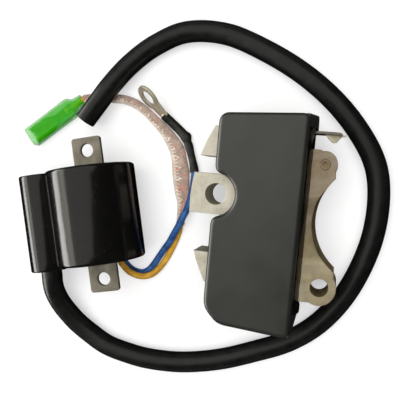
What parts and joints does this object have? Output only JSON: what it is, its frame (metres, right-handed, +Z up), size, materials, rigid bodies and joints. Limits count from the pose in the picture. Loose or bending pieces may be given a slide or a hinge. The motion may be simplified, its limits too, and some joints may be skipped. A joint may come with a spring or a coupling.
{
  "type": "ignition coil",
  "caption": "Small-engine ignition set: a round coil with a high-tension lead and two-wire harness, and a loose potted module with a laminated pole core that lifts off the bench.",
  "frame": {"origin": "centre of the small flat on the underside of the round coil case, on the surface that the set lies on", "axes": "+Z up from the surface; +Y along the coil's core strap, away from the mouth of the case; +X across the coil towards the module"},
  "size_m": [0.1222, 0.1176, 0.0287],
  "materials": {
    "coil_case": "glossy black moulded plastic with faint mould lines",
    "strap_steel": "plated steel gone dull olive grey",
    "sheet_steel": "stamped silicon steel sheets",
    "bobbin_pale": "pale moulded nylon",
    "bobbin_dark": "dark glass-filled nylon",
    "copper_wire": "enamelled copper wire",
    "yellow_tape": "polyester film tape",
    "resin": "poured dark resin",
    "tin": "tinned metal",
    "brass": "plain brass",
    "lead_rubber": "satin black rubber",
    "yellow_pvc": "ochre yellow wire insulation",
    "blue_pvc": "blue wire insulation",
    "glass_braid": "varnished glass-fibre braid with red tracer",
    "shrink_tube": "black shrink tube",
    "green_pvc": "clear bright green soft plastic",
    "core_steel": "zinc-plated laminated stack with a champagne tint",
    "module_case": "satin dark grey moulded plastic",
    "board": "green circuit board",
    "film_capacitor": "dipped ochre capacitor",
    "part_black": "black epoxy component",
    "part_tan": "tan lacquered resistor"
  },
  "bodies": {
    "coil": {"coil_case": "coil_case", "core_strap": "strap_steel", "core_sheets": "sheet_steel", "primary_bobbin": "bobbin_pale", "primary_winding": "copper_wire", "insulation_tape": "yellow_tape", "secondary_bobbin": "bobbin_dark", "secondary_winding": "copper_wire", "coil_potting": "resin", "primary_pins": "tin", "lead_contact": "brass", "lead_inner_end": "lead_rubber", "ht_lead": "lead_rubber", "lead_conductor": "copper_wire", "yellow_wire": "yellow_pvc", "blue_wire": "blue_pvc", "glass_sleeve": "glass_braid", "heat_shrink": "shrink_tube", "ring_terminal": "tin", "spade_socket": "brass", "socket_cover": "green_pvc"},
    "module": {"module_core": "core_steel", "core_rivets": "strap_steel", "module_case": "module_case", "module_potting": "resin", "charge_bobbin": "bobbin_dark", "charge_winding": "copper_wire", "trigger_bobbin": "bobbin_dark", "trigger_winding": "copper_wire", "circuit_board": "board", "capacitor": "film_capacitor", "thyristor": "part_black", "diodes": "part_black", "resistors": "part_tan", "output_tab": "strap_steel"}
  },
  "joints": [
    {"name": "module_lift", "type": "slide", "parent": "coil", "child": "module", "axis": [0, 0, 1], "range_m": [0, 0.06]}
  ]
}
